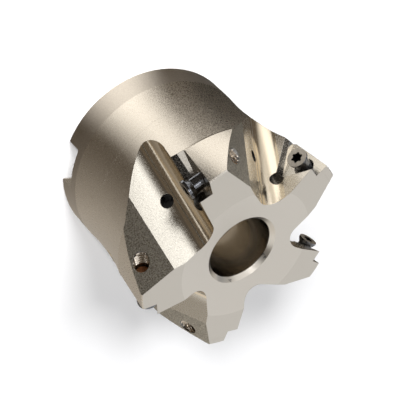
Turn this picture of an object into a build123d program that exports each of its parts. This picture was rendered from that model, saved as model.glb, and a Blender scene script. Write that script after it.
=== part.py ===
from build123d import *
import math
import os

# Shell end mill for five indexable inserts, without its inserts, in millimetres.
# The cutter turns about Z. The origin is the centre of the rear seating face, and the cutting face is up.

# Turned blank, with the radii of hub, waist and shoulder as insets from the body radius
body_height = 53.0
body_radius = 30.5
rim_inset = 0.3
rim_chamfer = 0.6
hub_band_inset = 0.9
hub_band_height = 8.8
waist_inset = 1.9
shoulder_inset = 0.5
shoulder_bevel = 1.0
cutting_end_height = 14.2
edge_break = 0.3

# Front face: a flat outer ring round a shallow cone that falls to the counterbore
ring_inner_radius = 19.7
dish_depth = 2.4
mouth_radius = 10.5
mouth_chamfer = 1.2

# Arbor bore from the rear, and the seat of the arbor screw from the front
arbor_bore_radius = 13.5
arbor_bore_depth = 25.0
arbor_bore_chamfer = 0.8
screw_web = 8.0
screw_web_hole_radius = 6.75

# Drive slot across the rear face, along X
drive_slot_width = 12.4
drive_slot_depth = 6.2
drive_slot_corner = 0.8

# Teeth, seen from the front they run anticlockwise and cut that way
tooth_count = 5
first_tooth_angle = 14.5

# Back of a tooth, from its heel corner on the outer diameter to a point further in
back_inner_inset = 8.6
back_inner_offset = 4.85
back_facet_rise = 31.1

# Gullet in front of a tooth: a shelf and a side that meet in a round groove, which leans outwards
gullet_root_radial = 9.96
gullet_root_offset = 5.82
gullet_opening = 73.8
groove_radius = 4.0
groove_lean = 31.6
shelf_radial_slope = 8.3
shelf_axial_slope = 7.85

# Insert seat: a floor and two drafted walls round a corner, inwards of the clamp screw, with a drilled relief
# The foot of the rear wall is relieved towards its outer end, so that the insert bears higher up
seat_floor_offset = 4.72
seat_floor_slope = 5.9
seat_corner_inset = 7.4
seat_corner_drop = 6.7
seat_rear_wall_turn = 34.0
seat_rear_wall_draft = 20.0
seat_foot_turn = 35.5
seat_foot_draft = 10.0
seat_inner_wall_turn = 43.3
seat_inner_wall_draft = 7.0
seat_depth = 4.5
relief_radius = 2.0
relief_drop = 6.6
relief_below_floor = 0.5

# Clamp screw and its threaded hole, through the tooth
screw_hole_inset = 3.8
screw_hole_drop = 5.5
screw_tilt = 7.0
thread_radius = 2.0
thread_clearance = 0.1
hole_mouth_chamfer = 0.6
screw_length = 11.0
screw_stand = 4.6
screw_head_radius = 2.65
screw_head_rim = 0.7
screw_cone_angle = 60.0
screw_tip_chamfer = 0.4
recess_depth = 1.5
recess_radius = 1.2
recess_lobe_radius = 0.36
recess_lobe_count = 6

# Coolant hole from the end of the arbor bore up to the gullet
coolant_radius = 1.65
coolant_drop = 13.5
coolant_radial = 16.8
coolant_offset = 14.3
coolant_rise = 52.0
coolant_azimuth = -42.4
drill_overshoot = 4.0

# Worked out from the sizes above
rim_radius = body_radius - rim_inset
hub_band_radius = body_radius - hub_band_inset
waist_radius = body_radius - waist_inset
shoulder_radius = body_radius - shoulder_inset
screw_hole_radial = body_radius - screw_hole_inset
counterbore_radius = mouth_radius - mouth_chamfer
counterbore_floor = arbor_bore_depth + screw_web
tooth_pitch = 360 / tooth_count
tool_reach = 2 * (body_radius + body_height)


def turned_blank():
    """The blank as it comes off the lathe: hub, waist, cutting end, dished face and bores."""
    shoulder_height = body_height - cutting_end_height
    waist_start = (hub_band_radius, hub_band_height)
    waist_middle = (waist_radius, (hub_band_height + shoulder_height) / 2)
    waist_end = (shoulder_radius, shoulder_height)
    mouth_height = body_height - dish_depth
    outline = [
        Line((arbor_bore_radius + arbor_bore_chamfer, 0), (rim_radius - rim_chamfer, 0)),
        Line((rim_radius - rim_chamfer, 0), (rim_radius, rim_chamfer)),
        Line((rim_radius, rim_chamfer), waist_start),
        ThreePointArc(waist_start, waist_middle, waist_end),
        Polyline(
            waist_end,
            (body_radius, shoulder_height + shoulder_bevel),
            (body_radius, body_height - edge_break),
            (body_radius - edge_break, body_height),
            (ring_inner_radius, body_height),
            (mouth_radius, mouth_height),
            (counterbore_radius, mouth_height - mouth_chamfer),
            (counterbore_radius, counterbore_floor),
            (screw_web_hole_radius, counterbore_floor),
            (screw_web_hole_radius, arbor_bore_depth),
            (arbor_bore_radius, arbor_bore_depth),
            (arbor_bore_radius, arbor_bore_chamfer),
            (arbor_bore_radius + arbor_bore_chamfer, 0),
        ),
    ]
    return revolve(Plane.XZ * make_face(Curve() + outline), Axis.Z)


def drive_slot():
    """The slot for the arbor's two drive keys."""
    section = Rectangle(drive_slot_width, 2 * drive_slot_depth)
    section = fillet(section.vertices().group_by(Axis.Y)[-1], drive_slot_corner)
    return extrude(Plane.YZ * section, amount=tool_reach / 2, both=True)


def facing(azimuth, rise):
    """A unit vector at these angles, in degrees."""
    flat = math.cos(math.radians(rise))
    turn = math.radians(azimuth)
    return Vector(flat * math.cos(turn), flat * math.sin(turn), math.sin(math.radians(rise)))


def beyond(point, normal):
    """A block that covers everything on the far side of a plane."""
    block = Box(tool_reach, tool_reach, tool_reach, align=(Align.CENTER, Align.CENTER, Align.MIN))
    return Plane(origin=point, z_dir=normal) * block


# From here on the tools of a tooth are in its own frame: x runs out to its heel, z = 0 is the front plane


def shelf_normal():
    """Out of the shelf, into the gullet."""
    radial = math.tan(math.radians(shelf_radial_slope))
    axial = math.tan(math.radians(shelf_axial_slope))
    return Vector(-radial, 1, -axial).normalized()


def groove_direction():
    """Along the groove towards the front, in the plane of the shelf."""
    radial = math.tan(math.radians(shelf_radial_slope))
    axial = math.tan(math.radians(shelf_axial_slope))
    lean = math.tan(math.radians(groove_lean))
    return Vector(-lean, axial - radial * lean, 1).normalized()


def gullet():
    """The chip space between the shelf of this tooth and the back of the next one."""
    root = (gullet_root_radial, gullet_root_offset, 0)
    forward = groove_direction()
    section = Plane(origin=root, x_dir=shelf_normal().cross(forward), z_dir=forward)
    side_run = tool_reach / math.tan(math.radians(gullet_opening))
    wedge = Polygon((0, 0), (tool_reach, 0), (tool_reach, tool_reach), (side_run, tool_reach), align=None)
    wedge = fillet(wedge.vertices().sort_by_distance((0, 0, 0))[0], groove_radius)
    return extrude(section * wedge, amount=tool_reach / 2, both=True)


def back_facet():
    """The clearance face behind the next tooth, kept off the groove and the shelf of this one."""
    slope = math.degrees(math.atan2(back_inner_inset, back_inner_offset))
    facet = Rot(0, 0, tooth_pitch) * beyond((body_radius, 0, 0), facing(-slope, back_facet_rise))
    above_groove = Vector(gullet_root_radial, gullet_root_offset, 0) + shelf_normal() * groove_radius
    return facet & beyond(above_groove, shelf_normal())


def seat_floor_plane():
    """The floor of the insert seat under the screw: z out of the floor, x out of the cutter."""
    fall = math.radians(seat_floor_slope)
    floor_offset = seat_floor_offset - screw_hole_drop * math.tan(fall)
    middle = (screw_hole_radial, floor_offset, -screw_hole_drop)
    return Plane(origin=middle, x_dir=(1, 0, 0), z_dir=(0, math.cos(fall), -math.sin(fall)))


def insert_seat():
    """The notch that holds an insert, open to the front, the outer diameter and the gullet."""
    corner = (-seat_corner_inset, seat_corner_drop - screw_hole_drop, 0)
    rear_wall = beyond(corner, facing(seat_rear_wall_turn - 90, seat_rear_wall_draft))
    rear_foot = beyond(corner, facing(seat_foot_turn - 90, seat_foot_draft))
    inner_wall = beyond(corner, facing(90 - seat_inner_wall_turn, seat_inner_wall_draft))
    slab = Box(tool_reach, tool_reach, seat_depth, align=(Align.CENTER, Align.CENTER, Align.MIN))
    relief_place = (-seat_corner_inset, relief_drop - screw_hole_drop, -relief_below_floor)
    relief = Cylinder(relief_radius, seat_depth, align=(Align.CENTER, Align.CENTER, Align.MIN))
    cuts = [slab & inner_wall & rear_wall, slab & inner_wall & rear_foot, Pos(*relief_place) * relief]
    return [seat_floor_plane() * cut for cut in cuts]


def screw_plane():
    """Where the clamp screw enters the seat floor: z runs along the screw, towards its head."""
    tilt = math.radians(screw_tilt)
    along = (-math.sin(tilt), math.cos(tilt), 0)
    return Plane(origin=seat_floor_plane().origin, x_dir=(0, 0, 1), z_dir=along)


def screw_hole():
    """The threaded hole, drawn at its nominal size, through the tooth, with a chamfered mouth in the seat."""
    hole_radius = thread_radius + thread_clearance / 2
    hole = Cylinder(hole_radius, body_radius)
    mouth = Cone(hole_radius, hole_radius + 2 * hole_mouth_chamfer, 2 * hole_mouth_chamfer)
    return screw_plane() * (hole + mouth)


def coolant_hole():
    """The drilled hole that feeds coolant from the end of the arbor bore into the gullet."""
    exit_point = Vector(coolant_radial, -coolant_offset, -coolant_drop)
    outward = facing(coolant_azimuth, coolant_rise)
    run = exit_point.dot(facing(coolant_azimuth, 0)) / math.cos(math.radians(coolant_rise))
    drill = Cylinder(coolant_radius, run + drill_overshoot, align=(Align.CENTER, Align.CENTER, Align.MIN))
    return Plane(origin=exit_point - outward * run, z_dir=outward) * drill


def tooth_frame(index):
    """The frame of one tooth, on the front plane."""
    return Location((0, 0, body_height), (0, 0, first_tooth_angle + index * tooth_pitch))


def cutter_body():
    """The one-piece steel body: the turned blank less everything that is milled and drilled."""
    tools = [gullet(), back_facet(), *insert_seat(), screw_hole(), coolant_hole()]
    body = turned_blank() - drive_slot()
    for index in range(tooth_count):
        body -= [tooth_frame(index) * tool for tool in tools]
    return body


def clamp_screw():
    """A countersunk clamp screw with a six-lobe recess, its tip at the origin and its head up."""
    cone_height = (screw_head_radius - thread_radius) / math.tan(math.radians(screw_cone_angle / 2))
    shank = thread_radius - thread_clearance / 2
    outline = Polygon(
        (0, 0),
        (shank - screw_tip_chamfer, 0),
        (shank, screw_tip_chamfer),
        (shank, screw_length - screw_head_rim - cone_height),
        (screw_head_radius, screw_length - screw_head_rim),
        (screw_head_radius, screw_length),
        (0, screw_length),
        align=None,
    )
    screw = revolve(Plane.XZ * outline, Axis.Z)
    recess = Circle(recess_radius)
    recess += PolarLocations(recess_radius, recess_lobe_count) * Circle(recess_lobe_radius)
    return screw - extrude(Plane.XY.offset(screw_length) * recess, amount=-recess_depth)


def seated_screw():
    """The clamp screw part of the way into the hole of a tooth."""
    return screw_plane() * (Pos(0, 0, screw_stand - screw_length) * clamp_screw())


os.makedirs("parts", exist_ok=True)
export_step(cutter_body(), "parts/cutter_body.step")
for index in range(tooth_count):
    export_step(tooth_frame(index) * seated_screw(), f"parts/clamp_screw_{index + 1}.step")
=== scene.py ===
import math

import bpy
from mathutils import Matrix, Vector


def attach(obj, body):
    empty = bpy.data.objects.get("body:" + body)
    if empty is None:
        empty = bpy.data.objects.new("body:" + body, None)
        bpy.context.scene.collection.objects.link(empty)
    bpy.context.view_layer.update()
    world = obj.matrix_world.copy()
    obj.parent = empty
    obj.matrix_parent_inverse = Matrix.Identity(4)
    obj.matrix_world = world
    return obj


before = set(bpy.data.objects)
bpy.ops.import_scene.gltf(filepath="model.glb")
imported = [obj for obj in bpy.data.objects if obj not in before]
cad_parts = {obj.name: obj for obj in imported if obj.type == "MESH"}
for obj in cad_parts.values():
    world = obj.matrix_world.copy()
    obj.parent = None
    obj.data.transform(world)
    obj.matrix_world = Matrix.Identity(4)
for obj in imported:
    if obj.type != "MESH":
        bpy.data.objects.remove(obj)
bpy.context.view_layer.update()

# Lengths are in metres, and angles in degrees, except where a line turns them into radians

# The turned body, as the part's source makes it
BODY_RADIUS = 0.0305
BODY_HEIGHT = 0.053
WAIST_RADIUS = 0.0286
HUB_BAND_HEIGHT = 0.0088
ARBOR_BORE_RADIUS = 0.0135
COUNTERBORE_RADIUS = 0.0093
COUNTERBORE_FLOOR = 0.033
MOUTH_RADIUS = 0.0105

# The teeth, as the source makes them. A flat face is given by the azimuth and the rise of its normal
# on one of the teeth, which for the back facet is the first.
TOOTH_COUNT = 5
TOOTH_PITCH = 360.0 / TOOTH_COUNT
FIRST_TOOTH = 14.5
SEAT_SLOPE = 5.9
BACK_FACET = (-46.1, 31.1)
GULLET_FLANK = (8.5, 31.7)
SEAT_WALL = (53.1, 47.7)
SEAT_FLOOR = (32.5, -SEAT_SLOPE)
BACK_FACET_START = Vector((BODY_RADIUS, 0, 0))

# Clamp screws and small holes, as the source makes them, in the frame of their tooth
SCREW_PLACE = Vector((0.0267, 0.00415, -0.0055))
SCREW_TILT = 7.0
SCREW_STAND = 0.0046
SCREW_LENGTH = 0.011
RECESS_DEPTH = 0.0015
RECESS_REACH = 0.0016
HOLE_RADIUS = 0.00205
COOLANT_EXIT = Vector((0.0168, -0.0143, -0.0135))
COOLANT_AXIS = (-42.4, 52.0)
COOLANT_RADIUS = 0.00165
RELIEF_PLACE = (-0.0074, 0.0011)
RELIEF_RADIUS = 0.002

# The gullet in the frame of its tooth: its shelf, its groove and its flank, which rises from the groove
GULLET_ROOT = Vector((0.00996, 0.00582, 0.0))
GULLET_OPENING = math.radians(73.8)
GROOVE_RADIUS = 0.004
GROOVE_LEAN = math.tan(math.radians(31.6))
SHELF_RADIAL = math.tan(math.radians(8.3))
SHELF_AXIAL = math.tan(math.radians(7.85))
SHELF_NORMAL = Vector((-SHELF_RADIAL, 1.0, -SHELF_AXIAL)).normalized()
GROOVE_ALONG = Vector((-GROOVE_LEAN, SHELF_AXIAL - SHELF_RADIAL * GROOVE_LEAN, 1.0)).normalized()
GROOVE_OUT = SHELF_NORMAL.cross(GROOVE_ALONG)
GROOVE_REACH = GROOVE_RADIUS / math.tan(GULLET_OPENING / 2)
GROOVE_CENTRE = GULLET_ROOT + GROOVE_OUT * GROOVE_REACH + SHELF_NORMAL * GROOVE_RADIUS
FLANK_UP = GROOVE_OUT * math.cos(GULLET_OPENING) + SHELF_NORMAL * math.sin(GULLET_OPENING)
FLANK_FOOT = GULLET_ROOT + FLANK_UP * GROOVE_REACH

# Camera, fitted to the photograph's view
CAMERA_PLACE = Vector((0.09647, -0.07752, 0.14125))
CAMERA_FORWARD = Vector((-0.57773, 0.45454, -0.67796)).normalized()
CAMERA_RIGHT = Vector((-0.81452, -0.26734, 0.51486)).normalized()
CAMERA_NEAREST = 0.01
LENS_MM = 52.71
SENSOR_MM = 36.0

# How far a point may lie past the edge of what it is sorted into
SLIVER = 0.00002
GROOVE_MARGIN = 0.00003
TURNED_MARGIN = 0.0001
WAIST_MARGIN = 0.0003
TIP_DEPTH = 0.0005

# How a face has to be turned: least cosines, then the largest differences in its rise and its azimuth
FACES_OUTWARDS = 0.95
FACES_FORWARD = 0.95
FACES_STRAIGHT_FORWARD = 0.999
CHAMFER_SPAN = 0.1
FLAT_FACE_RISE = 0.03
FLAT_FACE_TURN = 3.0

# The wall of a small hole lies beyond this share of its radius and is turned from its axis by this cosine
WALL_FROM = 0.8
WALL_TILT = 0.3

# Where the frame of one tooth takes over from the next, past the tooth's own direction
TOOTH_FRAME_START = 5.0

# Grain of the metal, soft edges, and bumps that widen the flank's blend and flare the hub's band
GRAIN_SCALE = 3400.0
GRAIN_SPAN = (0.32, 0.68)
GRAIN_DEPTH = 0.0000035
FLANK_GRAIN_DEPTH = 0.000002
WALL_GRAIN_DEPTH = 0.000005
SCREW_GRAIN_DEPTH = 0.000007
SMOOTH_GRAIN_DEPTH = 0.000003
TIP_COPPER_REFLECTION_GRAIN_DEPTH = 0.00002
CLOUD_SCALE = 160.0
EDGE_ROUND = 0.00012
EDGE_SAMPLES = 6
FLANK_BLEND = 0.0036
GROOVE_BLEND = 0.0024
FLANK_TILT = 14.0
BAND_TILT = 9.0

# Tones of the metal as red, green and blue, in pairs where the tone follows the grain
STEEL_TONES = ((0.625, 0.58, 0.51), (0.69, 0.645, 0.575))
HUB_TONES = ((0.55, 0.50, 0.43), (0.72, 0.665, 0.585))
BAND_TONES = ((0.47, 0.42, 0.36), (0.60, 0.55, 0.48))
FLANK_TONES = ((0.555, 0.524, 0.462), (0.60, 0.566, 0.502))
# The back facets' strong grain is their own; their darker tone is painted shade
BACK_GRAIN_AND_SHADE_TONES = ((0.19, 0.176, 0.148), (0.53, 0.497, 0.426))
# Painted shade: the dark, grained tone of the seats' rear walls
SEAT_WALL_SHADE_TONES = ((0.10, 0.097, 0.09), (0.52, 0.49, 0.44))
SEAT_FLOOR_TONES = ((0.52, 0.48, 0.415), (0.60, 0.56, 0.49))
# Painted reflection: the grooves' lighter, warmer gold
GROOVE_REFLECTION_TONE = (0.78, 0.69, 0.55)
# Painted shade: the darker walls of the counterbore and the arbor bore
COUNTERBORE_SHADE_TONE = (0.42, 0.385, 0.335)
ARBOR_BORE_SHADE_TONE = (0.40, 0.365, 0.31)
DISH_TONE = (0.575, 0.54, 0.488)
RING_TONE = (0.53, 0.497, 0.446)
# Painted shade: the near-black walls of the coolant holes
COOLANT_SHADE_TONES = ((0.008, 0.008, 0.007), (0.02, 0.019, 0.018))
# Painted shade: the dark walls of the relief holes and the screw holes
SMALL_HOLE_SHADE_TONES = ((0.17, 0.165, 0.155), (0.27, 0.26, 0.245))
# The threads' own steel tone, warmed towards copper-brown as a painted reflection
THREAD_AND_REFLECTION_TONES = ((0.55, 0.48, 0.40), (0.72, 0.66, 0.58))
SHANK_TONES = ((0.09, 0.095, 0.105), (0.21, 0.215, 0.23))
HEAD_FACE_TONES = ((0.46, 0.42, 0.37), (0.58, 0.54, 0.48))
# Painted shade: the near-black recess in each screw head
RECESS_SHADE_TONES = ((0.01, 0.01, 0.011), (0.03, 0.03, 0.03))
# Painted reflection: the screws' tips are copper-brown
TIP_COPPER_REFLECTION_TONES = ((0.42, 0.19, 0.08), (0.62, 0.33, 0.17))

# Roughness, in pairs where it follows the grain
STEEL_ROUGH = (0.20, 0.30)
HUB_ROUGH = (0.24, 0.36)
BAND_ROUGH = (0.36, 0.5)
GROOVE_ROUGH = 0.15
FRONT_ROUGH = 0.42
BACK_ROUGH = 0.42
MOUTH_ROUGH = 0.3
COUNTERBORE_ROUGH = 0.14
COOLANT_SHADE_ROUGH = (0.8, 0.9)
SMALL_HOLE_ROUGH = (0.25, 0.4)
THREAD_ROUGH = (0.1, 0.2)
SHANK_ROUGH = (0.12, 0.2)
HEAD_FACE_ROUGH = (0.35, 0.5)
RECESS_ROUGH = (0.4, 0.5)
TIP_COPPER_REFLECTION_ROUGH = (0.3, 0.5)

# The thread that shows in the exit holes. Its margin under the back facet is counted in half widths.
THREAD_PITCH = 0.0007
THREAD_CREST = 0.00168
THREAD_HALF_WIDTH = 0.00033
THREAD_MARGIN = 1.1
THREAD_STEPS = 40
THREAD_DEEPEST = 0.0125

# The sky's light on matt things, against 1 for the camera and for mirror rays
SKY_LIGHT = 0.08

# The floor, and the light of its own that it has for the camera and for mirror rays only
FLOOR_LIGHT = 0.03
FLOOR_SIZE = 6.0
FLOOR_TONES = ((0.88, 0.88, 0.89), (0.90, 0.90, 0.91))
FLOOR_MOTTLE_SCALE = 60.0

# Tones of the cards that only reflections see, as a studio puts them round bright metal, and their mottle
DARK = (0.125, 0.104, 0.082)
DIM = (0.045, 0.038, 0.030)
MIDDLE = (0.50, 0.46, 0.41)
PALE = (0.80, 0.76, 0.71)
BRIGHT = (1.70, 1.66, 1.59)
SLATE = (0.17, 0.19, 0.22)
BLACK = (0.02, 0.018, 0.016)
BROWN = (0.42, 0.355, 0.27)
UMBER = (0.24, 0.22, 0.20)
GLEAM = (8.0, 8.0, 8.2)
GLOW = (2.0, 1.92, 1.85)
MOTTLE = (0.94, 1.06)
MOTTLE_SPAN = (0.2, 0.8)
MOTTLE_SCALE = 20.0

# The card on the floor is dark. Close by it has a dim part in the south-west and a bright lobe in the
# south-east, and further out a bright wedge in the south. Its north-east has a middle tone, and it glows
# under the bore. East is along X and north along Y.
# Each pair says between which azimuths or distances something comes or goes.
FLOOR_CARD_HALF = 0.35
FLOOR_CARD_HEIGHT = 0.0004
LOBE_COMES = (-84.0, -54.0)
LOBE_GOES = (-52.0, -20.0)
LOBE_ENDS = (0.047, 0.057)
DIM_GOES = (-112.0, -86.0)
MIDDLE_COMES = (-25.0, 45.0)
MIDDLE_GOES = (75.0, 95.0)
GLOW_ENDS = (0.010, 0.014)

# Straight borders of the wedge: a point, the direction into the wedge and half the width of the soft edge,
# which on the south-west is a share of the distance. Then between which distances it dims, and to what share.
WEDGE_EAST = ((0.0335, 0.0), (-1.0, 0.0), 0.0015)
WEDGE_SOUTH_WEST = ((0.014, -0.044), (0.65, -0.76), 0.22)
WEDGE_DIMS = (0.10, 0.17)
WEDGE_DIMMED = 0.42

# Borders of a small black patch east of the wedge, in the same form
BLACK_PATCH = (
    ((0.0335, 0.0), (1.0, 0.0), 0.0015),
    ((0.060, 0.0), (-1.0, 0.0), 0.010),
    ((0.0, -0.048), (0.0, -1.0), 0.004),
    ((0.0, -0.085), (0.0, 1.0), 0.010),
)

# Standing cards: azimuth from, azimuth to, lower edge, upper edge, tone
STANDING_CARDS = (
    (-70, -17, 0.0, 0.34, DARK),
    (-11, 18, 0.0, 0.05, BROWN),
    (18, 38, 0.0, 0.05, DARK),
    (-11, 38, 0.05, 0.20, DARK),
    (-17, 12, 0.20, 0.75, BLACK),
    (12, 38, 0.20, 0.75, DARK),
    (38, 62, 0.0, 0.20, MIDDLE),
    (62, 100, 0.0, 0.20, PALE),
    (-150, -124, 0.06, 0.28, UMBER),
    (-174, -150, 0.06, 0.20, SLATE),
    (-76, -64, 0.53, 0.70, GLEAM),
)
STANDING_RADIUS = 0.32
STANDING_STEPS = 12

# The lamp that shows in the metal: where it is, how far away, how large and how strong
SOFT_BOX_AZIMUTH = -92.0
SOFT_BOX_ELEVATION = 12.0
SOFT_BOX_DISTANCE = 0.40
SOFT_BOX_SIZE = 0.28
SOFT_BOX_POWER = 0.35

# Far lamps: name, azimuth, elevation, strength and the angle that they fill in the sky
FAR_LAMPS = (
    ("shadow_left", -75.0, 41.0, 2.5, 18.0),
    ("shadow_near", -49.0, 26.5, 2.7, 11.0),
    ("shadow_right", -38.0, 25.0, 1.3, 10.0),
)


class Shade:
    """Builds the nodes of one material or of the world. Values may be sockets or numbers."""

    def __init__(self, tree):
        self.tree = tree
        tree.nodes.clear()

    def node(self, kind, **values):
        made = self.tree.nodes.new(kind)
        for name, value in values.items():
            setattr(made, name, value)
        return made

    def link(self, value, socket):
        if isinstance(value, bpy.types.NodeSocket):
            self.tree.links.new(value, socket)
        else:
            socket.default_value = value

    def math(self, operation, *values):
        made = self.node("ShaderNodeMath", operation=operation)
        for value, socket in zip(values, made.inputs):
            self.link(value, socket)
        return made.outputs[0]

    def vector(self, operation, *values, output=0):
        made = self.node("ShaderNodeVectorMath", operation=operation)
        for value, socket in zip(values, made.inputs):
            self.link(value, socket)
        return made.outputs[output]

    def ramp(self, value, low, high, low_out=0.0, high_out=1.0):
        """A soft step from one output to the other while the value goes from low to high."""
        made = self.node("ShaderNodeMapRange", interpolation_type="SMOOTHSTEP")
        names = ("Value", "From Min", "From Max", "To Min", "To Max")
        for name, given in zip(names, (value, low, high, low_out, high_out)):
            self.link(given, made.inputs[name])
        return made.outputs["Result"]

    def fall(self, value, low, high):
        return self.ramp(value, low, high, 1.0, 0.0)

    def mix(self, factor, first, second):
        """Mixes two tones, each a socket or red, green and blue."""
        made = self.node("ShaderNodeMix", data_type="RGBA")
        self.link(factor, made.inputs["Factor"])
        # The node's colours are its inputs 6 and 7 and its output 2
        for tone, place in ((first, 6), (second, 7)):
            self.link((*tone, 1) if isinstance(tone, tuple) else tone, made.inputs[place])
        return made.outputs[2]

    def mix_value(self, factor, first, second):
        made = self.node("ShaderNodeMix", data_type="FLOAT")
        self.link(factor, made.inputs[0])
        self.link(first, made.inputs[2])
        self.link(second, made.inputs[3])
        return made.outputs[0]

    def noise(self, place, scale, detail=2.0, roughness=0.5):
        made = self.node("ShaderNodeTexNoise")
        self.link(place, made.inputs["Vector"])
        made.inputs["Scale"].default_value = scale
        made.inputs["Detail"].default_value = detail
        made.inputs["Roughness"].default_value = roughness
        return made.outputs["Fac"]

    def place(self):
        return self.node("ShaderNodeTexCoord").outputs["Object"]


def new_material(name):
    material = bpy.data.materials.new(name)
    material.use_nodes = True
    return material, Shade(material.node_tree)


def direction(azimuth, elevation):
    flat = math.cos(math.radians(elevation))
    turn = math.radians(azimuth)
    return Vector((flat * math.cos(turn), flat * math.sin(turn), math.sin(math.radians(elevation))))


# The frames of the teeth, and what lies in them
def tooth_turn(index):
    """From the frame of a tooth, which has its origin on the front plane, to the frame of the part."""
    turn = Matrix.Rotation(math.radians(FIRST_TOOTH + index * TOOTH_PITCH), 4, "Z")
    return Matrix.Translation((0, 0, BODY_HEIGHT)) @ turn


def screw_axis(index):
    """The middle of the screw hole in the seat floor, and the direction from there to the screw's head."""
    turn = tooth_turn(index)
    tilt = math.radians(SCREW_TILT)
    return turn @ SCREW_PLACE, turn.to_3x3() @ Vector((-math.sin(tilt), math.cos(tilt), 0))


def hole_axes():
    """A point, the direction and the radius of each coolant hole, relief hole and screw hole."""
    slope = math.radians(SEAT_SLOPE)
    seat_out = Vector((0, math.cos(slope), -math.sin(slope)))
    seat_up = seat_out.cross(Vector((1, 0, 0)))
    along, up = RELIEF_PLACE
    relief = SCREW_PLACE + Vector((along, 0, 0)) + seat_up * up
    axes = []
    for index in range(TOOTH_COUNT):
        turn = tooth_turn(index)
        spin = turn.to_3x3()
        axes.append((turn @ COOLANT_EXIT, spin @ direction(*COOLANT_AXIS), COOLANT_RADIUS))
        axes.append((turn @ relief, spin @ seat_out, RELIEF_RADIUS))
        axes.append((*screw_axis(index), HOLE_RADIUS))
    return axes


# Where a point of the body lies: each mask is 1 there and 0 elsewhere
def face_normal(shade):
    normal = shade.node("ShaderNodeSeparateXYZ")
    shade.link(shade.node("ShaderNodeNewGeometry").outputs["True Normal"], normal.inputs[0])
    return normal.outputs


def from_axis(shade, place):
    """The place's parts, and its distance from the axis of the cutter."""
    parts = shade.node("ShaderNodeSeparateXYZ")
    shade.link(place, parts.inputs[0])
    x, y, z = (parts.outputs[name] for name in "XYZ")
    away = shade.math("SQRT", shade.math("MULTIPLY_ADD", x, x, shade.math("MULTIPLY", y, y)))
    return x, y, z, away


def faces_towards(shade, azimuth, rise):
    """The flat faces of all the teeth that have this direction on one of them."""
    normal = face_normal(shade)
    turn = shade.math("ARCTAN2", normal["Y"], normal["X"])
    turn = shade.math("SUBTRACT", turn, math.radians(azimuth - TOOTH_PITCH / 2 - 360))
    turn = shade.math("MODULO", turn, math.radians(TOOTH_PITCH))
    off_turn = shade.math("ABSOLUTE", shade.math("SUBTRACT", turn, math.radians(TOOTH_PITCH / 2)))
    off_rise = shade.math("SUBTRACT", normal["Z"], math.sin(math.radians(rise)))
    near_turn = shade.math("LESS_THAN", off_turn, math.radians(FLAT_FACE_TURN))
    near_rise = shade.math("LESS_THAN", shade.math("ABSOLUTE", off_rise), FLAT_FACE_RISE)
    return shade.math("MULTIPLY", near_turn, near_rise)


def front_mask(shade, least):
    """Faces that look towards the front by at least this cosine."""
    return shade.math("GREATER_THAN", face_normal(shade)["Z"], least)


def outside_mask(shade, place):
    """The turned outside: hub, waist and lands."""
    x, y, z, away = from_axis(shade, place)
    normal = face_normal(shade)
    outwards = shade.math("MULTIPLY_ADD", x, normal["X"], shade.math("MULTIPLY", y, normal["Y"]))
    faces_out = shade.math("GREATER_THAN", shade.math("DIVIDE", outwards, away), FACES_OUTWARDS)
    return shade.math("MULTIPLY", faces_out, shade.math("GREATER_THAN", away, WAIST_RADIUS - WAIST_MARGIN))


def band_mask(shade, place):
    """Everything up to the height of the hub's band."""
    x, y, z, away = from_axis(shade, place)
    return shade.math("LESS_THAN", z, HUB_BAND_HEIGHT)


def counterbore_mask(shade, place):
    """The wall of the counterbore."""
    x, y, z, away = from_axis(shade, place)
    inside = shade.math("LESS_THAN", away, COUNTERBORE_RADIUS + TURNED_MARGIN)
    return shade.math("MULTIPLY", inside, shade.math("GREATER_THAN", z, COUNTERBORE_FLOOR + TURNED_MARGIN))


def mouth_mask(shade, place):
    """The chamfer round the mouth of the counterbore."""
    x, y, z, away = from_axis(shade, place)
    inside = shade.math("LESS_THAN", away, MOUTH_RADIUS + TURNED_MARGIN)
    outside = shade.math("GREATER_THAN", away, COUNTERBORE_RADIUS - TURNED_MARGIN)
    rises = shade.math("COMPARE", face_normal(shade)["Z"], math.sqrt(0.5), CHAMFER_SPAN)
    return shade.math("MULTIPLY", rises, shade.math("MULTIPLY", inside, outside))


def arbor_bore_mask(shade, place):
    """The wall of the arbor bore."""
    x, y, z, away = from_axis(shade, place)
    inside = shade.math("LESS_THAN", away, ARBOR_BORE_RADIUS + TURNED_MARGIN)
    return shade.math("MULTIPLY", inside, shade.math("LESS_THAN", z, COUNTERBORE_FLOOR - TURNED_MARGIN))


def tooth_place(shade, place):
    """The place in the frame of the tooth whose gullet it lies in."""
    x, y, z, away = from_axis(shade, place)
    start = math.radians(FIRST_TOOTH + TOOTH_FRAME_START)
    turn = shade.math("ADD", shade.math("ARCTAN2", y, x), 2 * math.pi - start)
    turn = shade.math("MODULO", turn, math.radians(TOOTH_PITCH))
    turn = shade.math("ADD", turn, math.radians(TOOTH_FRAME_START))
    joined = shade.node("ShaderNodeCombineXYZ")
    shade.link(shade.math("MULTIPLY", away, shade.math("COSINE", turn)), joined.inputs["X"])
    shade.link(shade.math("MULTIPLY", away, shade.math("SINE", turn)), joined.inputs["Y"])
    shade.link(shade.math("SUBTRACT", z, BODY_HEIGHT), joined.inputs["Z"])
    return joined.outputs[0]


def groove_mask(shade, place):
    """The round groove of a gullet."""
    apart = shade.vector("SUBTRACT", tooth_place(shade, place), GROOVE_CENTRE)
    across = shade.vector("CROSS_PRODUCT", apart, GROOVE_ALONG)
    off = shade.vector("LENGTH", across, output="Value")
    return shade.math("LESS_THAN", off, GROOVE_RADIUS + GROOVE_MARGIN)


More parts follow.
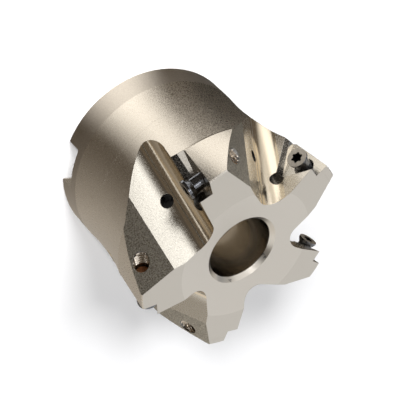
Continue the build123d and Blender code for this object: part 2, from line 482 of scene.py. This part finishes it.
# Metal
def finish_material(name, tone_of, rough_of, height_of, metallic=1.0, shine=0.5):
    """A finely grained surface: the functions take the shade, the place and the grain and give a socket."""
    material, shade = new_material(name)
    place = shade.place()
    grain = shade.ramp(shade.noise(place, GRAIN_SCALE, roughness=0.6), *GRAIN_SPAN)
    bevel = shade.node("ShaderNodeBevel", samples=EDGE_SAMPLES)
    bevel.inputs["Radius"].default_value = EDGE_ROUND
    bump = shade.node("ShaderNodeBump")
    bump.inputs["Strength"].default_value = 1.0
    bump.inputs["Distance"].default_value = 1.0
    shade.link(height_of(shade, place, grain), bump.inputs["Height"])
    shade.link(bevel.outputs[0], bump.inputs["Normal"])
    surface = shade.node("ShaderNodeBsdfPrincipled")
    surface.inputs["Metallic"].default_value = metallic
    surface.inputs["Specular IOR Level"].default_value = shine
    shade.link(tone_of(shade, place, grain), surface.inputs["Base Color"])
    shade.link(rough_of(shade, place, grain), surface.inputs["Roughness"])
    shade.link(bump.outputs[0], surface.inputs["Normal"])
    output = shade.node("ShaderNodeOutputMaterial")
    shade.link(surface.outputs[0], output.inputs["Surface"])
    return material


def between(low, high):
    """A tone or a roughness that follows the grain from one value to the other."""

    def made(shade, place, grain):
        if isinstance(low, tuple):
            return shade.mix(grain, low, high)
        return shade.mix_value(grain, low, high)

    return made


def plain_material(name, tones, rough, depth, metallic=1.0, shine=0.5):
    """Tone, roughness and height all follow the grain alone."""

    def height(shade, place, grain):
        return shade.math("MULTIPLY", grain, depth)

    return finish_material(name, between(*tones), between(*rough), height, metallic, shine)


def cubed_share(shade, value):
    """The third power of a value, which is first kept between 0 and 1."""
    return shade.math("POWER", shade.math("MINIMUM", shade.math("MAXIMUM", value, 0.0), 1.0), 3.0)


def body_relief(shade, place, grain):
    """The grain, the blend of each flank into its groove, and the hub's band, which flares to the rear."""
    x, y, z, away = from_axis(shade, place)
    flank = faces_towards(shade, *GULLET_FLANK)
    apart = shade.vector("SUBTRACT", tooth_place(shade, place), FLANK_FOOT)
    climb = shade.vector("DOT_PRODUCT", apart, FLANK_UP, output="Value")
    above = cubed_share(shade, shade.math("SUBTRACT", 1.0, shade.math("DIVIDE", climb, FLANK_BLEND)))
    below = cubed_share(shade, shade.math("ADD", 1.0, shade.math("DIVIDE", climb, GROOVE_BLEND)))
    # A cube starts three times as steep as a straight line, so a third of the tilt starts the blend at it
    steepness = math.tan(math.radians(FLANK_TILT)) / 3
    above = shade.math("MULTIPLY", above, steepness * FLANK_BLEND)
    below = shade.math("MULTIPLY", below, steepness * GROOVE_BLEND)
    blended = shade.math("MAXIMUM", flank, groove_mask(shade, place))
    blend = shade.math("MULTIPLY", shade.math("SUBTRACT", above, below), blended)
    flare = math.tan(math.radians(BAND_TILT))
    band = shade.math("MULTIPLY", shade.math("MINIMUM", z, HUB_BAND_HEIGHT), flare)
    band = shade.math("MULTIPLY", band, shade.math("GREATER_THAN", away, WAIST_RADIUS))
    fine = shade.math("MULTIPLY", grain, shade.mix_value(flank, GRAIN_DEPTH, FLANK_GRAIN_DEPTH))
    return shade.math("ADD", fine, shade.math("ADD", blend, band))


def body_tone(shade, place, grain):
    """A clouded tone, over which the turned faces and then the flat faces of the teeth have their own. The
    grooves' lighter gold is a painted reflection, and the darker bores, back facets and seat walls carry
    painted shade.
    """
    tone = shade.mix(shade.noise(place, CLOUD_SCALE), *STEEL_TONES)
    hub_tone = shade.mix(band_mask(shade, place), shade.mix(grain, *HUB_TONES), shade.mix(grain, *BAND_TONES))
    tone = shade.mix(outside_mask(shade, place), tone, hub_tone)
    tone = shade.mix(groove_mask(shade, place), tone, GROOVE_REFLECTION_TONE)
    tone = shade.mix(counterbore_mask(shade, place), tone, COUNTERBORE_SHADE_TONE)
    tone = shade.mix(arbor_bore_mask(shade, place), tone, ARBOR_BORE_SHADE_TONE)
    tone = shade.mix(front_mask(shade, FACES_FORWARD), tone, DISH_TONE)
    tone = shade.mix(front_mask(shade, FACES_STRAIGHT_FORWARD), tone, RING_TONE)
    tooth_faces = (
        (GULLET_FLANK, FLANK_TONES),
        (BACK_FACET, BACK_GRAIN_AND_SHADE_TONES),
        (SEAT_FLOOR, SEAT_FLOOR_TONES),
        (SEAT_WALL, SEAT_WALL_SHADE_TONES),
    )
    for face, tones in tooth_faces:
        tone = shade.mix(faces_towards(shade, *face), tone, shade.mix(grain, *tones))
    return tone


def body_rough(shade, place, grain):
    rough = shade.mix_value(grain, *STEEL_ROUGH)
    rough = shade.mix_value(groove_mask(shade, place), rough, GROOVE_ROUGH)
    hub_rough = shade.mix_value(grain, *HUB_ROUGH)
    hub_rough = shade.mix_value(band_mask(shade, place), hub_rough, shade.mix_value(grain, *BAND_ROUGH))
    rough = shade.mix_value(outside_mask(shade, place), rough, hub_rough)
    rough = shade.mix_value(front_mask(shade, FACES_FORWARD), rough, FRONT_ROUGH)
    rough = shade.mix_value(faces_towards(shade, *BACK_FACET), rough, BACK_ROUGH)
    rough = shade.mix_value(mouth_mask(shade, place), rough, MOUTH_ROUGH)
    return shade.mix_value(counterbore_mask(shade, place), rough, COUNTERBORE_ROUGH)


# The CAD nodes get materials and nothing else
def dress(node, *materials):
    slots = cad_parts[node].data.materials
    slots.clear()
    for material in materials:
        slots.append(material)


def dress_body():
    """The walls of the small holes have their own materials, dark with painted shade, by where each face of
    the mesh lies.
    """
    steel = finish_material("body_steel", body_tone, body_rough, body_relief)
    # Painted shade: the coolant holes' walls are near black and not metal, because metal turns bright in a
    # steep hole
    coolant_shade = plain_material("coolant_wall", COOLANT_SHADE_TONES, COOLANT_SHADE_ROUGH, WALL_GRAIN_DEPTH, metallic=0.0, shine=0.05)
    # Painted shade: the relief holes and screw holes have dark walls
    small_hole_shade = plain_material("relief_wall", SMALL_HOLE_SHADE_TONES, SMALL_HOLE_ROUGH, WALL_GRAIN_DEPTH)
    dress("cutter_body", steel, coolant_shade, small_hole_shade)
    axes = hole_axes()
    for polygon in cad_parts["cutter_body"].data.polygons:
        for point, along, radius in axes:
            apart = polygon.center - point
            off = (apart - along * apart.dot(along)).length
            if WALL_FROM * radius < off < radius + SLIVER and abs(polygon.normal.dot(along)) < WALL_TILT:
                polygon.material_index = 1 if radius == COOLANT_RADIUS else 2


def dress_screws():
    """Head face, recess and tip have their own materials, by where each face of the mesh lies. The recess is
    near black with painted shade, and the tip is copper-brown as a painted reflection.
    """
    shank = plain_material("screw_steel", SHANK_TONES, SHANK_ROUGH, SMOOTH_GRAIN_DEPTH)
    head_face = plain_material("screw_face", HEAD_FACE_TONES, HEAD_FACE_ROUGH, SCREW_GRAIN_DEPTH)
    # Painted shade: the recess is near black
    recess = plain_material("screw_recess", RECESS_SHADE_TONES, RECESS_ROUGH, SCREW_GRAIN_DEPTH)
    # Painted reflection: the tips are copper-brown
    tip = plain_material("screw_tip_copper_reflection", TIP_COPPER_REFLECTION_TONES, TIP_COPPER_REFLECTION_ROUGH, TIP_COPPER_REFLECTION_GRAIN_DEPTH)
    for index in range(TOOTH_COUNT):
        node = f"clamp_screw_{index + 1}"
        dress(node, shank, head_face, recess, tip)
        foot, along = screw_axis(index)
        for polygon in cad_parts[node].data.polygons:
            out = (polygon.center - foot).dot(along)
            away = (polygon.center - foot - along * out).length
            if out > SCREW_STAND - SLIVER:
                polygon.material_index = 1
            elif out > SCREW_STAND - RECESS_DEPTH - SLIVER and away < RECESS_REACH:
                polygon.material_index = 2
            elif out < SCREW_STAND - SCREW_LENGTH + TIP_DEPTH:
                polygon.material_index = 3
            else:
                polygon.material_index = 0


# The thread in the exit holes
def hole_thread(index, vertices, faces):
    """Adds the turns of thread that show at the back of a tooth, from the screw's tip out to the facet."""
    turn = tooth_turn(index)
    foot, along = screw_axis(index)
    across = turn.to_3x3() @ Vector((0, 0, 1))
    side = along.cross(across)
    facet_point = turn @ BACK_FACET_START
    facet_normal = direction(BACK_FACET[0] + index * TOOTH_PITCH, BACK_FACET[1])
    depth = SCREW_LENGTH - SCREW_STAND + THREAD_PITCH
    step = 0
    previous = None
    while depth < THREAD_DEEPEST:
        angle = 2 * math.pi * step / THREAD_STEPS
        spoke = across * math.cos(angle) + side * math.sin(angle)
        root_point = foot - along * depth + spoke * HOLE_RADIUS
        cover = (facet_point - root_point).dot(facet_normal)
        share = min(1.0, max(0.0, cover / THREAD_HALF_WIDTH - THREAD_MARGIN))
        crest = HOLE_RADIUS - (HOLE_RADIUS - THREAD_CREST) * share
        current = None
        if share > 0:
            current = len(vertices)
            for side_shift in (-THREAD_HALF_WIDTH, 0.0, THREAD_HALF_WIDTH):
                radius = HOLE_RADIUS + SLIVER if side_shift else crest
                vertices.append(foot - along * (depth + side_shift) + spoke * radius)
            if previous is not None:
                faces.append((previous, current, current + 1, previous + 1))
                faces.append((previous + 1, current + 1, current + 2, previous + 2))
        previous = current
        step += 1
        depth += THREAD_PITCH / THREAD_STEPS


def make_hole_threads():
    vertices = []
    faces = []
    for index in range(TOOTH_COUNT):
        hole_thread(index, vertices, faces)
    mesh = bpy.data.meshes.new("hole_threads")
    mesh.from_pydata(vertices, [], faces)
    mesh.materials.append(plain_material("thread_steel", THREAD_AND_REFLECTION_TONES, THREAD_ROUGH, SMOOTH_GRAIN_DEPTH))
    threads = bpy.data.objects.new("hole_threads", mesh)
    bpy.context.scene.collection.objects.link(threads)
    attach(threads, "root")


# The stage: floor, cards, sky, lamps and camera
def background_rays(shade):
    """1 for rays from the camera and for those that metal or glass sends on, 0 for diffuse light."""
    rays = shade.node("ShaderNodeLightPath").outputs
    seen = shade.math("MAXIMUM", rays["Is Camera Ray"], rays["Is Glossy Ray"])
    return shade.math("MAXIMUM", seen, rays["Is Transmission Ray"])


def floor_material():
    """Matt paper with a faint mottle. Its own light is there for the camera and for mirror rays only."""
    material, shade = new_material("floor")
    matt = shade.node("ShaderNodeBsdfDiffuse")
    mottle = shade.noise(shade.place(), FLOOR_MOTTLE_SCALE)
    shade.link(shade.mix(mottle, *FLOOR_TONES), matt.inputs["Color"])
    glow = shade.node("ShaderNodeEmission")
    shade.link(shade.math("MULTIPLY", background_rays(shade), FLOOR_LIGHT), glow.inputs["Strength"])
    both = shade.node("ShaderNodeAddShader")
    shade.link(matt.outputs[0], both.inputs[0])
    shade.link(glow.outputs[0], both.inputs[1])
    output = shade.node("ShaderNodeOutputMaterial")
    shade.link(both.outputs[0], output.inputs["Surface"])
    return material


def make_floor():
    bpy.ops.mesh.primitive_plane_add(size=FLOOR_SIZE)
    floor = bpy.context.object
    floor.name = "floor"
    floor.data.materials.append(floor_material())


def card_material(name, tone_of):
    """A card that glows evenly in its own tones, as a lit or a shaded sheet does."""
    material, shade = new_material(name)
    glow = shade.node("ShaderNodeEmission")
    shade.link(tone_of(shade, shade.place()), glow.inputs["Color"])
    output = shade.node("ShaderNodeOutputMaterial")
    shade.link(glow.outputs[0], output.inputs["Surface"])
    return material


def mottled(tone):
    """An even tone with a faint mottle."""

    def made(shade, place):
        low, high = (tuple(share * part for part in tone) for share in MOTTLE)
        return shade.mix(shade.noise(place, MOTTLE_SCALE), low, high)

    return made


def inside_border(shade, place, border):
    """1 past a straight border, 0 before it, with a soft edge between."""
    (at_x, at_y), (into_x, into_y), soft = border
    x, y, z, away = from_axis(shade, place)
    depth = shade.math("MULTIPLY_ADD", x, into_x, shade.math("MULTIPLY", y, into_y))
    depth = shade.math("SUBTRACT", depth, at_x * into_x + at_y * into_y)
    return shade.ramp(depth, shade.math("MULTIPLY", soft, -1), soft)


def floor_card_tone(shade, place):
    """Each part of the card over the ones before it, all by azimuth and distance on the floor."""
    x, y, z, away = from_axis(shade, place)
    turn = shade.math("MULTIPLY", shade.math("ARCTAN2", y, x), 180 / math.pi)
    dim = shade.math("MULTIPLY", shade.fall(turn, *DIM_GOES), shade.fall(away, *LOBE_ENDS))
    middle = shade.math("MINIMUM", shade.ramp(turn, *MIDDLE_COMES), shade.fall(turn, *MIDDLE_GOES))
    lobe = shade.math("MINIMUM", shade.ramp(turn, *LOBE_COMES), shade.fall(turn, *LOBE_GOES))
    at, into, spread = WEDGE_SOUTH_WEST
    wedge = inside_border(shade, place, (at, into, shade.math("MULTIPLY", away, spread)))
    wedge = shade.math("MINIMUM", wedge, inside_border(shade, place, WEDGE_EAST))
    wedge = shade.math("MULTIPLY", wedge, shade.ramp(away, *WEDGE_DIMS, 1.0, WEDGE_DIMMED))
    patch = 1.0
    for border in BLACK_PATCH:
        patch = shade.math("MINIMUM", patch, inside_border(shade, place, border))
    tone = shade.mix(dim, DARK, DIM)
    tone = shade.mix(middle, tone, MIDDLE)
    tone = shade.mix(shade.mix_value(shade.ramp(away, *LOBE_ENDS), lobe, wedge), tone, BRIGHT)
    tone = shade.mix(patch, tone, BLACK)
    tone = shade.mix(shade.fall(away, *GLOW_ENDS), tone, GLOW)
    scaled = shade.node("ShaderNodeVectorMath", operation="SCALE")
    shade.link(tone, scaled.inputs[0])
    mottle = shade.ramp(shade.noise(place, MOTTLE_SCALE), *MOTTLE_SPAN, *MOTTLE)
    shade.link(mottle, scaled.inputs["Scale"])
    return scaled.outputs[0]


def card(name, corners, faces, material):
    mesh = bpy.data.meshes.new(name)
    mesh.from_pydata(corners, [], faces)
    mesh.materials.append(material)
    made = bpy.data.objects.new(name, mesh)
    bpy.context.scene.collection.objects.link(made)
    for ray in ("camera", "diffuse", "transmission", "volume_scatter", "shadow"):
        setattr(made, "visible_" + ray, False)


def make_cards():
    reach = FLOOR_CARD_HALF
    corners = [(x, y, FLOOR_CARD_HEIGHT) for x in (-reach, reach) for y in (-reach, reach)]
    card("card_floor", corners, [(0, 2, 3, 1)], card_material("card_floor", floor_card_tone))
    for number, (start, end, low, high, tone) in enumerate(STANDING_CARDS):
        name = f"card_standing_{number + 1}"
        corners = []
        for step in range(STANDING_STEPS + 1):
            azimuth = start + (end - start) * step / STANDING_STEPS
            towards = direction(azimuth, 0) * STANDING_RADIUS
            corners += [(towards.x, towards.y, low), (towards.x, towards.y, high)]
        faces = [(2 * k, 2 * k + 2, 2 * k + 3, 2 * k + 1) for k in range(STANDING_STEPS)]
        card(name, corners, faces, card_material(name, mottled(tone)))


def make_world():
    """White for the camera and for mirror rays, and faint where it lights matt things."""
    world = bpy.data.worlds.new("studio")
    bpy.context.scene.world = world
    world.use_nodes = True
    shade = Shade(world.node_tree)
    sky = shade.node("ShaderNodeBackground")
    sky.inputs["Color"].default_value = (1, 1, 1, 1)
    shade.link(shade.mix_value(background_rays(shade), SKY_LIGHT, 1.0), sky.inputs["Strength"])
    output = shade.node("ShaderNodeOutputWorld")
    shade.link(sky.outputs[0], output.inputs["Surface"])


def lamp(name, kind, towards, power):
    """A lamp that shines at the part from this direction."""
    data = bpy.data.lights.new(name, kind)
    data.energy = power
    light = bpy.data.objects.new(name, data)
    bpy.context.scene.collection.objects.link(light)
    light.rotation_euler = towards.to_track_quat("Z", "Y").to_euler()
    return light


def make_soft_box():
    """A square lamp that also shows in the metal."""
    towards = direction(SOFT_BOX_AZIMUTH, SOFT_BOX_ELEVATION)
    light = lamp("soft_box", "AREA", towards, SOFT_BOX_POWER)
    light.location = towards * SOFT_BOX_DISTANCE + Vector((0, 0, BODY_HEIGHT / 2))
    light.data.size = SOFT_BOX_SIZE


def make_far_lamps():
    """Wide lamps far away, which throw the object's soft shadow and don't show in the metal."""
    for name, azimuth, elevation, power, softness in FAR_LAMPS:
        light = lamp(name, "SUN", direction(azimuth, elevation), power)
        light.data.angle = math.radians(softness)
        light.visible_glossy = False


def make_camera():
    data = bpy.data.cameras.new("camera")
    data.lens = LENS_MM
    data.sensor_width = SENSOR_MM
    data.clip_start = CAMERA_NEAREST
    camera = bpy.data.objects.new("camera", data)
    bpy.context.scene.collection.objects.link(camera)
    up = CAMERA_RIGHT.cross(CAMERA_FORWARD)
    turn = Matrix((CAMERA_RIGHT, up, -CAMERA_FORWARD)).transposed()
    camera.matrix_world = Matrix.Translation(CAMERA_PLACE) @ turn.to_4x4()
    bpy.context.scene.camera = camera


dress_body()
dress_screws()
make_hole_threads()
make_floor()
make_cards()
make_world()
make_camera()
make_soft_box()
make_far_lamps()

bpy.context.scene.view_settings.view_transform = "Standard"
